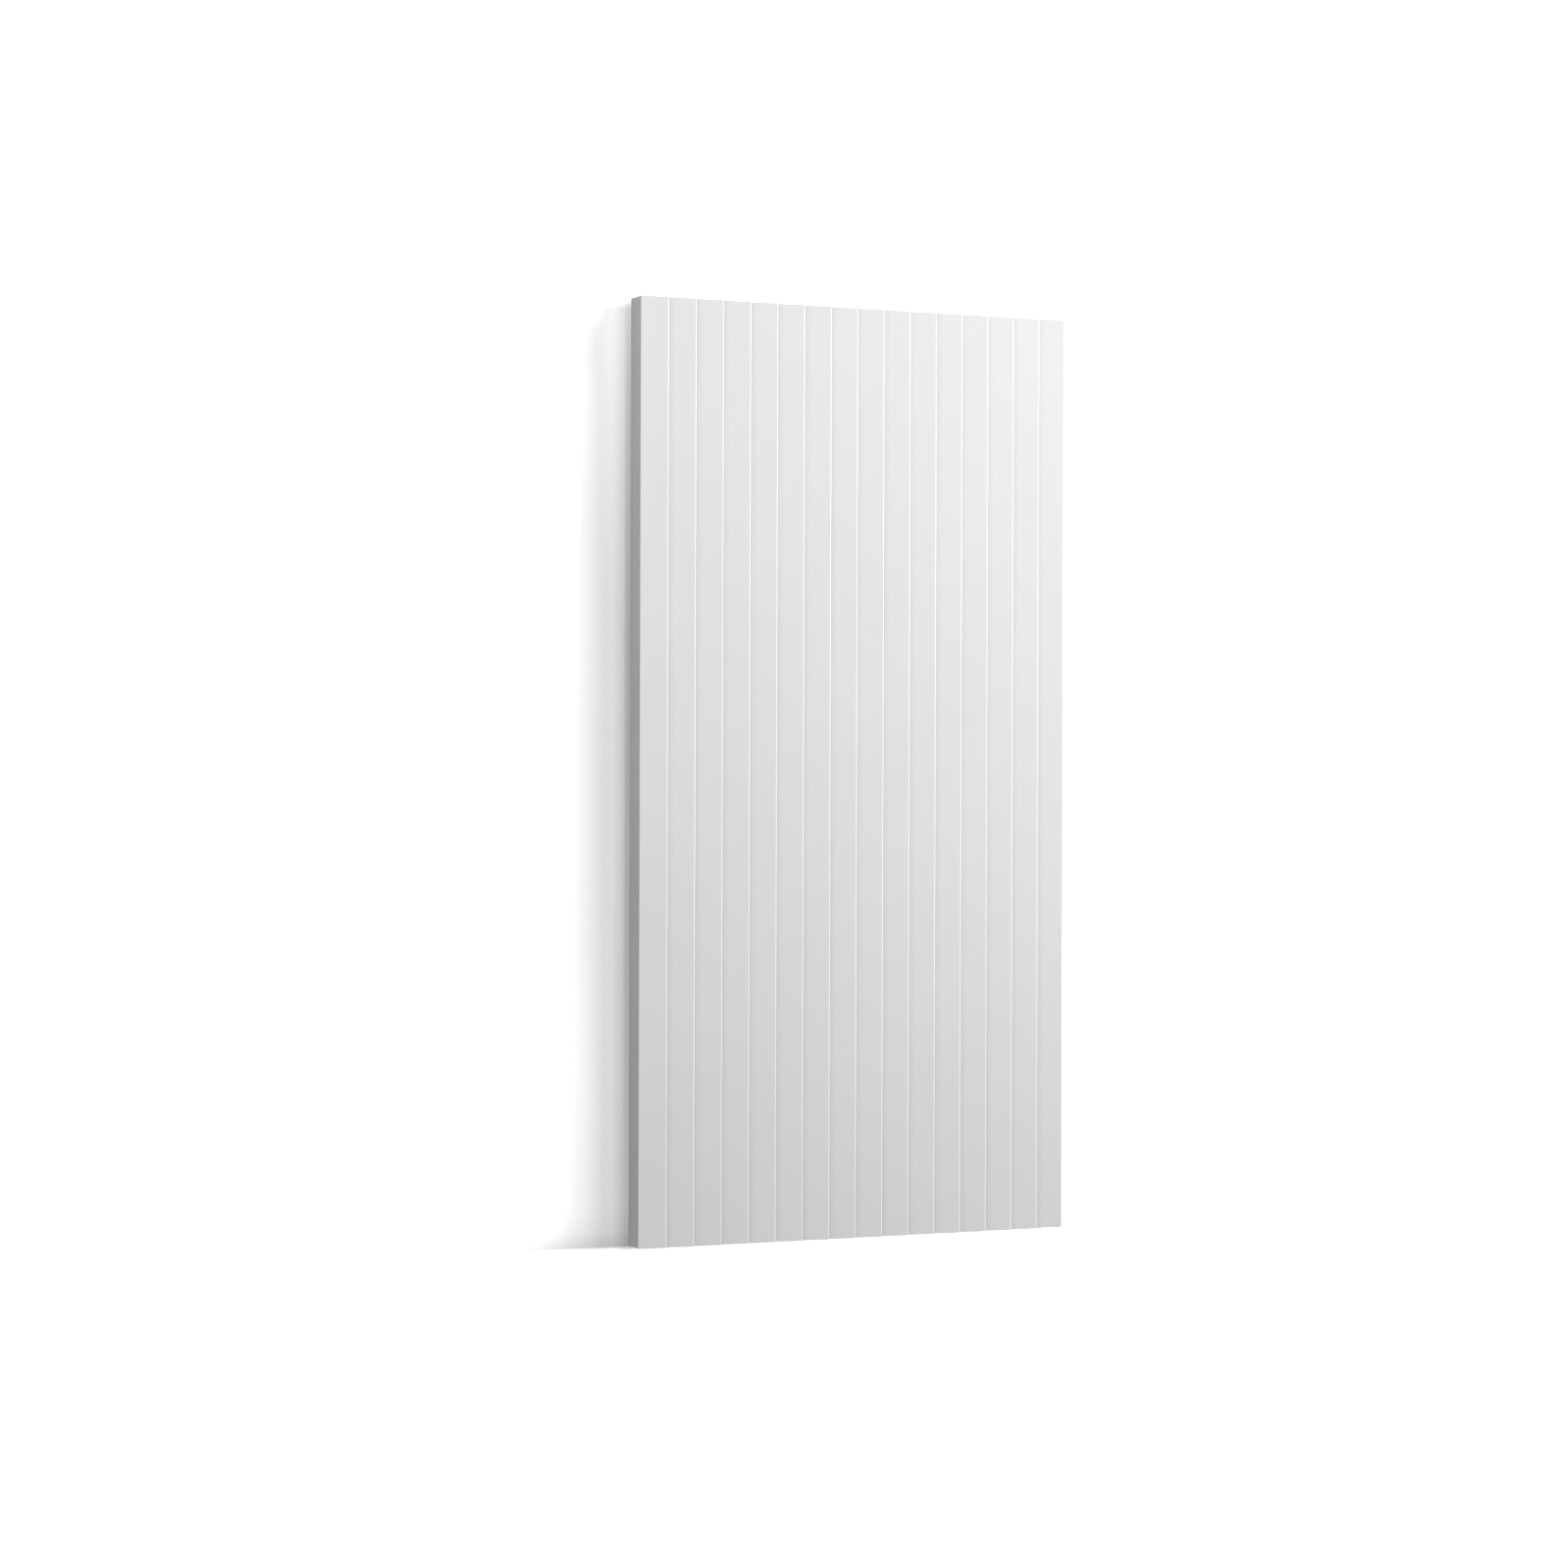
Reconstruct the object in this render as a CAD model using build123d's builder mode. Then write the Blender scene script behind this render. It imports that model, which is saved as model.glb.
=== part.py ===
"""Moulded wall panel with a lapped relief, lying on its flat back.

Millimetres, +Z out of the front. The origin is the middle of the back face, +Y runs along
the strips and +X runs across them, towards the side that every riser faces.
"""

import math
import os

from build123d import *

# The strips, side by side, give the panel its width
strip_count = 16
strip_width = 15.625
panel_length = 500.0
panel_thickness = 16.0  # from the back face to the rounded top of a ridge

# Each strip climbs from its foot to a ridge, where a riser drops to the foot of the next
step_depth = 2.1  # from the foot of a strip to the crest of its ridge, before that is rounded
riser_draft = 8.0  # degrees that a riser leans, so that the panel leaves its mould
ridge_radius = 0.6  # rounded crest
root_radius = 0.3  # hollow fillet at the foot of each riser
arris_radius = 0.5  # softened front arris of the long edge that has no riser

panel_width = strip_count * strip_width
riser_run = step_depth * math.tan(math.radians(riser_draft))

# Rounding takes a little off each crest, so the sharp crest stands that much proud
strip_slope = math.atan2(step_depth, strip_width - riser_run)
crest_turn = strip_slope + math.radians(90 - riser_draft)
crest_loss = ridge_radius * (math.tan(crest_turn / 2) * math.sin(strip_slope) + math.cos(strip_slope) - 1)
crest_height = panel_thickness + crest_loss
foot_height = crest_height - step_depth


def relief_outline():
    """Points of the front, from the left long edge to the right one: a foot and a crest for each strip."""
    points = []
    for strip in range(strip_count):
        foot_x = -panel_width / 2 + strip * strip_width
        points.append((foot_x, foot_height))
        points.append((foot_x + strip_width - riser_run, crest_height))
    points.append((panel_width / 2, foot_height))
    return points


os.makedirs("parts", exist_ok=True)

with BuildPart() as wall_panel:
    with BuildSketch(Plane.XZ) as section:
        with BuildLine():
            Polyline(
                (-panel_width / 2, 0),
                *relief_outline(),
                (panel_width / 2, 0),
                close=True,
            )
        make_face()

        # The back corners lie lowest, then the feet, then the crests
        back_corners, feet, crests = section.vertices().group_by(Axis.Y)
        left_foot, *inner_feet, right_foot = feet.sort_by(Axis.X)
        fillet(crests, ridge_radius)
        fillet(inner_feet, root_radius)
        fillet(left_foot, arris_radius)
    extrude(amount=panel_length / 2, both=True)

wall_panel.part.label = "wall_panel"
export_step(wall_panel.part, "parts/wall_panel.step")
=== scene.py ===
import math

import bmesh
import bpy
from mathutils import Matrix, Vector


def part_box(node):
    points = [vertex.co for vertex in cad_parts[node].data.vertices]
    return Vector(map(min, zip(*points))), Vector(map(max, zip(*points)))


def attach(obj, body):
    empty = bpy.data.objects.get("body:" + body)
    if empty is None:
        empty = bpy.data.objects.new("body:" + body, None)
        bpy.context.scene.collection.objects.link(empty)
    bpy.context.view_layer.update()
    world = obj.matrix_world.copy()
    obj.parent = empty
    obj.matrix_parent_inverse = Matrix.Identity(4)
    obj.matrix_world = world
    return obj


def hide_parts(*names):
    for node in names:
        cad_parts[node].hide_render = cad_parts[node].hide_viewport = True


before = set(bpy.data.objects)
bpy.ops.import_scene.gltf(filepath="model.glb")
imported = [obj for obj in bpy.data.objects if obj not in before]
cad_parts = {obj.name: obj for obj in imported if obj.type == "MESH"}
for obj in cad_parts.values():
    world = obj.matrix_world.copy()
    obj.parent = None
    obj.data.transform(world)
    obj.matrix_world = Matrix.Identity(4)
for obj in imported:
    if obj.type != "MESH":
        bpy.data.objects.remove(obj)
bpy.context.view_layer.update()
print("frame loaded")


# the wall panel, lying on its back: x across the strips, y along them, z out of the front
wallPanel = {
    "strips": 16,
    "stepDepth": 0.0021,  # foot of a strip to its crest, before the crest is rounded
    "riserDraft": 8.0,  # degrees off square
    "ridgeRadius": 0.0006,
    "ridgeSegments": 10,
    "rootRadius": 0.0003,
    "rootSegments": 4,
    "arrisRadius": 0.0005,
    "arrisSegments": 4,
    "rimSoftening": 0.00028,  # the coat rounds every outer edge a little
    "rimSegments": 3,
    "rimAngle": 0.5,  # radians between two faces, past which their edge is a sharp one
    "mergeDistance": 0.00001,  # points closer than this are the same
}


def longEdges(bm, height, tolerance=0.00005):
    # edges that run the length of the panel at one height
    return [e for e in bm.edges
            if all(abs(v.co.z - height) < tolerance for v in e.verts)
            and abs(e.verts[0].co.x - e.verts[1].co.x) < tolerance
            and e.calc_length() > tolerance]


def roundEdges(bm, edges, radius, segments):
    # turns each edge into an arc of that radius, given the angle between its two faces
    turn = edges[0].calc_face_angle()
    bmesh.ops.bevel(bm, geom=edges, offset=radius * math.tan(turn / 2), offset_type="OFFSET",
                    segments=segments, profile=0.5, affect="EDGES", clamp_overlap=True, material=-1)


def buildWallPanel():
    low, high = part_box("wall_panel")
    stripWidth = (high.x - low.x) / wallPanel["strips"]
    riserRun = wallPanel["stepDepth"] * math.tan(math.radians(wallPanel["riserDraft"]))

    # rounding lowers a crest, so the sharp crest starts that much higher
    slope = math.atan2(wallPanel["stepDepth"], stripWidth - riserRun)
    turn = slope + math.radians(90 - wallPanel["riserDraft"])
    crestLoss = wallPanel["ridgeRadius"] * (math.tan(turn / 2) * math.sin(slope) + math.cos(slope) - 1)
    crestZ = high.z + crestLoss
    footZ = crestZ - wallPanel["stepDepth"]

    # the front of one strip: foot, crest, foot of the next one, drawn along the panel
    bm = bmesh.new()
    corners = [(low.x, low.y, footZ), (low.x + stripWidth - riserRun, low.y, crestZ),
               (low.x + stripWidth, low.y, footZ)]
    verts = [bm.verts.new(c) for c in corners]
    edges = [bm.edges.new(pair) for pair in zip(verts, verts[1:])]
    drawn = bmesh.ops.extrude_edge_only(bm, edges=edges)["geom"]
    bmesh.ops.translate(bm, vec=(0, high.y - low.y, 0),
                        verts=[g for g in drawn if isinstance(g, bmesh.types.BMVert)])

    # the same strip again and again across the width
    bmesh.ops.spin(bm, geom=bm.verts[:] + bm.edges[:] + bm.faces[:], cent=(0, 0, 0), axis=(0, 0, 1),
                   dvec=(stripWidth, 0, 0), angle=0, steps=wallPanel["strips"] - 1, use_duplicate=True)
    bmesh.ops.remove_doubles(bm, verts=bm.verts[:], dist=wallPanel["mergeDistance"])

    # the sides and ends drop from the relief to the back, which closes the solid
    rim = [e for e in bm.edges if e.is_boundary]
    dropped = bmesh.ops.extrude_edge_only(bm, edges=rim)["geom"]
    bmesh.ops.scale(bm, vec=(1, 1, 0), verts=[g for g in dropped if isinstance(g, bmesh.types.BMVert)])
    bmesh.ops.holes_fill(bm, edges=[e for e in bm.edges if e.is_boundary], sides=0)
    bmesh.ops.dissolve_limit(bm, angle_limit=math.radians(1), verts=bm.verts[:], edges=bm.edges[:])
    bmesh.ops.recalc_face_normals(bm, faces=bm.faces[:])

    # crests, roots and the one long arris that has no riser
    firstStrip, lastStrip = low.x + stripWidth / 2, high.x - stripWidth / 2
    roundEdges(bm, longEdges(bm, crestZ), wallPanel["ridgeRadius"], wallPanel["ridgeSegments"])
    roots = [e for e in longEdges(bm, footZ) if firstStrip < e.verts[0].co.x < lastStrip]
    roundEdges(bm, roots, wallPanel["rootRadius"], wallPanel["rootSegments"])
    arris = [e for e in longEdges(bm, footZ) if e.verts[0].co.x < firstStrip]
    roundEdges(bm, arris, wallPanel["arrisRadius"], wallPanel["arrisSegments"])
    print("relief rounded,", len(bm.faces), "faces")

    # every sharp edge round the two ends and the back
    outer = [e for e in bm.edges if e.calc_face_angle(0) > wallPanel["rimAngle"]
             and (all(abs(abs(v.co.y) - high.y) < wallPanel["mergeDistance"] for v in e.verts)
                  or all(abs(v.co.z - low.z) < wallPanel["mergeDistance"] for v in e.verts))]
    bmesh.ops.bevel(bm, geom=outer, offset=wallPanel["rimSoftening"], offset_type="OFFSET",
                    segments=wallPanel["rimSegments"], profile=0.5, affect="EDGES", clamp_overlap=True,
                    material=-1)
    for f in bm.faces:
        f.smooth = True

    mesh = bpy.data.meshes.new("wallPanel")
    bm.to_mesh(mesh)
    bm.free()
    piece = bpy.data.objects.new("wallPanel", mesh)
    bpy.context.scene.collection.objects.link(piece)
    keepFlats = piece.modifiers.new("keepFlats", "WEIGHTED_NORMAL")
    keepFlats.weight = 100
    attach(piece, "root")
    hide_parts("wall_panel")
    print("wall panel built")
    return piece


# the primer: smooth matt white with a fine sprayed texture, and painted shade and painted highlights across
# each strip
primer = {
    "colour": (0.83, 0.83, 0.83, 1),
    "colourDark": (0.815, 0.815, 0.815, 1),
    "rootPaintedShade": 0.67,  # painted shade: greyest in the root of a riser,
    "nearPaintedShade": 0.89,  # paler a quarter of the way out
    "farPaintedShade": 0.985,
    "rootShadeReach": 0.0045,  # and almost clear this far from it
    "ridgePaintedHighlight": 1.17,  # a painted highlight: palest on the crest of a ridge
    "highlightStart": 1.15,  # it starts to be paler this many ridge radii before the crest
    "highlightFull": 0.85,  # and is palest from here
    "riserPaintedShade": 0.77,  # and painted shade on the risers and on the side below the last one
    "riserShadeStart": 0.25,  # from this part of the way down
    "cloudScale": 22.0,
    "cloudSpread": (0.3, 0.7),
    "stippleScale": 1500.0,
    "stippleHeight": 0.000012,
    "wavinessScale": 35.0,
    "wavinessHeight": 0.00006,
    "roughness": (0.8, 0.9),
    "specular": 0.25,
}


def addNode(tree, kind, **sockets):
    node = tree.nodes.new(kind)
    for name, value in sockets.items():
        node.inputs[name.replace("_", " ")].default_value = value
    return node


def addMath(tree, operation, *values):
    # each value is a plain number or a socket to read
    node = tree.nodes.new("ShaderNodeMath")
    node.operation = operation
    for place, value in enumerate(values):
        if isinstance(value, bpy.types.NodeSocket):
            tree.links.new(value, node.inputs[place])
        else:
            node.inputs[place].default_value = value
    return node.outputs[0]


def addRamp(tree, value, stops):
    # a tone at each of these values, blended in between
    start, span = stops[0][0], stops[-1][0] - stops[0][0]
    ramp = tree.nodes.new("ShaderNodeValToRGB")
    elements = ramp.color_ramp.elements
    for element, (_, tone) in zip(elements, (stops[0], stops[-1])):
        element.color = (tone, tone, tone, 1)
    for position, tone in stops[1:-1]:
        elements.new((position - start) / span).color = (tone, tone, tone, 1)
    tree.links.new(addMath(tree, "MULTIPLY_ADD", value, 1 / span, -start / span), ramp.inputs["Fac"])
    return ramp.outputs["Color"]


def paintedReliefLight(tree, place):
    # painted shade in the roots and on the risers and a painted highlight on the crests, from how far across
    # its strip a point lies
    low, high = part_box("wall_panel")
    stripWidth = (high.x - low.x) / wallPanel["strips"]
    riser = wallPanel["stepDepth"] * math.tan(math.radians(wallPanel["riserDraft"])) / stripWidth
    crest = 1 - riser
    arc = wallPanel["ridgeRadius"] / stripWidth
    reach = primer["rootShadeReach"] / stripWidth
    parts = tree.nodes.new("ShaderNodeSeparateXYZ")
    tree.links.new(place, parts.inputs[0])
    strips = addMath(tree, "MULTIPLY_ADD", parts.outputs["X"], 1 / stripWidth, -low.x / stripWidth)
    paintedRelief = addRamp(tree, addMath(tree, "FRACT", strips), [
        (0.0, primer["rootPaintedShade"]),
        (reach / 4, primer["nearPaintedShade"]),
        (reach, primer["farPaintedShade"]),
        (crest - primer["highlightStart"] * arc, 1.0),
        (crest - primer["highlightFull"] * arc, primer["ridgePaintedHighlight"]),
        (crest, primer["ridgePaintedHighlight"]),
        (crest + primer["riserShadeStart"] * riser, primer["riserPaintedShade"]),
        (1.0, primer["rootPaintedShade"]),
    ])

    # the first strip has no riser before it, and the last riser runs on into the side without a root
    lastRiser = wallPanel["strips"] - (1 - primer["riserShadeStart"]) * riser
    onSide = addMath(tree, "GREATER_THAN", strips, lastRiser)
    # painted shade on the side below the last riser, the coat's own colour elsewhere off the relief
    paintedSideShade = addMath(tree, "MULTIPLY_ADD", onSide, primer["riserPaintedShade"] - 1, 1.0)

    # the relief itself: on a strip, short of the softened ends, and down to a little below the feet
    onStrips = addMath(tree, "COMPARE", strips, (lastRiser + 0.5) / 2, (lastRiser - 0.5) / 2)
    notOnEnds = addMath(tree, "COMPARE", parts.outputs["Y"], 0.0, high.y - wallPanel["rimSoftening"])
    onFront = addMath(tree, "GREATER_THAN", parts.outputs["Z"], high.z - 1.2 * wallPanel["stepDepth"])
    onRelief = addMath(tree, "MULTIPLY", addMath(tree, "MULTIPLY", onStrips, notOnEnds), onFront)
    tone = addNode(tree, "ShaderNodeMapRange")
    tree.links.new(onRelief, tone.inputs["Value"])
    tree.links.new(paintedSideShade, tone.inputs["To Min"])
    tree.links.new(paintedRelief, tone.inputs["To Max"])
    return tone.outputs["Result"]


def primerMaterial():
    material = bpy.data.materials.new("mattPrimer")
    material.use_nodes = True
    tree = material.node_tree
    link = tree.links.new
    shader = tree.nodes["Principled BSDF"]
    place = tree.nodes.new("ShaderNodeTexCoord").outputs["Object"]

    # a very faint cloudiness of the coat
    clouds = addNode(tree, "ShaderNodeTexNoise", Scale=primer["cloudScale"], Detail=3.0)
    link(place, clouds.inputs["Vector"])
    tone = tree.nodes.new("ShaderNodeValToRGB")
    dark, pale = tone.color_ramp.elements
    dark.color, pale.color = primer["colourDark"], primer["colour"]
    dark.position, pale.position = primer["cloudSpread"]
    link(clouds.outputs["Fac"], tone.inputs["Fac"])
    # the coat's colour times the painted shade and painted highlight of the relief
    shaded = tree.nodes.new("ShaderNodeVectorMath")
    shaded.operation = "SCALE"
    link(tone.outputs["Color"], shaded.inputs[0])
    link(paintedReliefLight(tree, place), shaded.inputs["Scale"])
    link(shaded.outputs[0], shader.inputs["Base Color"])

    # sprayed stipple, and under it the slow waviness of the moulding
    stipple = addNode(tree, "ShaderNodeTexNoise", Scale=primer["stippleScale"], Detail=2.0, Roughness=0.6)
    link(place, stipple.inputs["Vector"])
    waviness = addNode(tree, "ShaderNodeTexNoise", Scale=primer["wavinessScale"], Detail=1.0)
    link(place, waviness.inputs["Vector"])
    broad = addNode(tree, "ShaderNodeBump", Distance=primer["wavinessHeight"])
    link(waviness.outputs["Fac"], broad.inputs["Height"])
    fine = addNode(tree, "ShaderNodeBump", Distance=primer["stippleHeight"])
    link(stipple.outputs["Fac"], fine.inputs["Height"])
    link(broad.outputs["Normal"], fine.inputs["Normal"])
    link(fine.outputs["Normal"], shader.inputs["Normal"])

    smoothest, roughest = primer["roughness"]
    spread = addNode(tree, "ShaderNodeMapRange", To_Min=smoothest, To_Max=roughest)
    link(stipple.outputs["Fac"], spread.inputs["Value"])
    link(spread.outputs["Result"], shader.inputs["Roughness"])
    shader.inputs["Specular IOR Level"].default_value = primer["specular"]
    return material


# plain pale studio: floor, soft lamps, camera
studio = {
    "floorSize": 14.0,
    "floorColour": 0.19,
    # how pale the ground looks at these distances out from the left side of the panel: a painted shadow that
    # deepens and shapes the lamps' shadow there, darkest close against the side, and white further out,
    # where the lamps fall off
    "floorBeside": ((-0.45, 3.3), (-0.25, 2.0), (-0.002, 1.3), (0.0, 0.82), (0.004, 1.09),
                    (0.01, 1.33), (0.02, 1.26), (0.028, 1.28), (0.033, 1.34), (0.04, 1.45),
                    (0.05, 1.62), (0.1, 2.5), (0.2, 3.3)),
    # and how much of that at these places along it, up from its bottom end: darkest at the bottom end, paler
    # towards the top, and white past both ends
    "floorAlong": ((-0.004, 3.0), (0.0, 0.75), (0.003, 0.83), (0.0075, 0.94), (0.02, 1.03), (0.09, 1.04),
                   (0.16, 1.01), (0.25, 0.98), (0.34, 0.95), (0.38, 0.98), (0.42, 1.03), (0.47, 1.11),
                   (0.488, 1.14), (0.495, 1.17), (0.497, 1.5), (0.504, 3.0)),
    # painted shade close against the side, and painted shade that reaches further out up the panel
    "contactBeside": ((-0.002, 0.0), (0.0, 0.2), (0.002, 0.19), (0.004, 0.0)),
    "contactAlong": ((0.04, 0.0), (0.09, 0.45), (0.155, 0.75), (0.24, 1.0), (0.33, 0.98), (0.38, 0.9),
                     (0.45, 0.75), (0.478, 0.45), (0.49, 0.2)),
    "outerBeside": ((0.0145, 0.0), (0.017, 0.08), (0.0195, 0.13), (0.025, 0.14), (0.03, 0.11), (0.037, 0.0)),
    "outerAlong": ((0.09, 0.0), (0.155, 0.3), (0.24, 0.5), (0.33, 0.52), (0.38, 0.85), (0.42, 1.0),
                   (0.45, 1.2), (0.47, 1.5), (0.483, 1.4), (0.492, 0.0)),
    "skyLevel": 0.414,
}
lamps = {
    "key": {"position": (1.37, 0.14, 0.83), "aim": (0.0, 2.5, 0.0), "size": 0.8, "power": 40.7},
    "fill": {"position": (-0.62, 0.5, 0.852), "aim": (0.1, 0.83, 0.0), "size": 0.9, "power": 3.5},
}
viewpoint = {
    "position": (-0.8179, -0.0059, 1.7948),
    "aim": (-0.0362, -0.0061, 0.0),
    "roll": 0.17,  # degrees
    "lens": 83.6,
    "clipEnd": 50,
}


def aimed(obj, position, aim, roll=0.0):
    # looks from position to aim with the panel's length upright in the picture
    ahead = (Vector(aim) - Vector(position)).normalized()
    right = ahead.cross(Vector((0, 1, 0))).normalized()
    up = right.cross(ahead)
    turn = Matrix((right, up, -ahead)).transposed() @ Matrix.Rotation(math.radians(roll), 3, "Z")
    obj.location = position
    obj.rotation_mode = "QUATERNION"
    obj.rotation_quaternion = turn.to_quaternion()


def seenRays(tree):
    # 1 on rays that end up in the picture as a view of the ground or the sky
    rays = tree.nodes.new("ShaderNodeLightPath").outputs
    straight = addMath(tree, "MAXIMUM", rays["Is Camera Ray"], rays["Is Glossy Ray"])
    return addMath(tree, "MAXIMUM", straight, rays["Is Transmission Ray"])


def buildFloor():
    bm = bmesh.new()
    bmesh.ops.create_grid(bm, x_segments=1, y_segments=1, size=studio["floorSize"] / 2)
    mesh = bpy.data.meshes.new("studioFloor")
    bm.to_mesh(mesh)
    bm.free()
    floor = bpy.data.objects.new("studioFloor", mesh)
    bpy.context.scene.collection.objects.link(floor)

    material = bpy.data.materials.new("paleFloor")
    material.use_nodes = True
    tree = material.node_tree
    tree.nodes.clear()
    matt = tree.nodes.new("ShaderNodeBsdfDiffuse")
    place = tree.nodes.new("ShaderNodeTexCoord")
    parts = tree.nodes.new("ShaderNodeSeparateXYZ")
    tree.links.new(place.outputs["Object"], parts.inputs[0])
    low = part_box("wall_panel")[0]
    beside = addMath(tree, "SUBTRACT", low.x, parts.outputs["X"])
    along = addMath(tree, "SUBTRACT", parts.outputs["Y"], low.y)

    def byPlace(name):
        # what it is this far out from the side, times how much of that there is this far along
        return addMath(tree, "MULTIPLY", addRamp(tree, beside, studio[name + "Beside"]),
                       addRamp(tree, along, studio[name + "Along"]))

    # painted shadow: this shade lowers the ground's tone on rays that end up in the picture
    shade = addMath(tree, "ADD", byPlace("contact"), byPlace("outer"))
    seen = addMath(tree, "MULTIPLY", byPlace("floor"), addMath(tree, "SUBTRACT", 1.0, shade))
    tone = addNode(tree, "ShaderNodeMapRange", To_Min=studio["floorColour"])
    tree.links.new(seenRays(tree), tone.inputs["Value"])
    tree.links.new(seen, tone.inputs["To Max"])
    tree.links.new(tone.outputs["Result"], matt.inputs["Color"])
    output = tree.nodes.new("ShaderNodeOutputMaterial")
    tree.links.new(matt.outputs[0], output.inputs["Surface"])
    mesh.materials.append(material)


def buildSky():
    world = bpy.data.worlds.new("studioSky")
    bpy.context.scene.world = world
    world.use_nodes = True
    tree = world.node_tree
    background = tree.nodes["Background"]
    level = addNode(tree, "ShaderNodeMapRange", To_Min=studio["skyLevel"], To_Max=1.0)
    tree.links.new(seenRays(tree), level.inputs["Value"])
    tree.links.new(level.outputs["Result"], background.inputs["Strength"])
    background.inputs["Color"].default_value = (1, 1, 1, 1)


def buildLamps():
    for name, setting in lamps.items():
        data = bpy.data.lights.new(name, "AREA")
        data.shape = "SQUARE"
        data.size = setting["size"]
        data.energy = setting["power"]
        lamp = bpy.data.objects.new(name, data)
        bpy.context.scene.collection.objects.link(lamp)
        aimed(lamp, setting["position"], setting["aim"])


def buildCamera():
    data = bpy.data.cameras.new("camera")
    data.lens = viewpoint["lens"]
    data.clip_end = viewpoint["clipEnd"]
    camera = bpy.data.objects.new("camera", data)
    bpy.context.scene.collection.objects.link(camera)
    aimed(camera, viewpoint["position"], viewpoint["aim"], viewpoint["roll"])
    bpy.context.scene.camera = camera


panelPiece = buildWallPanel()
panelPiece.data.materials.append(primerMaterial())
buildFloor()
buildSky()
buildLamps()
buildCamera()
bpy.context.scene.view_settings.view_transform = "Standard"
print("studio ready")
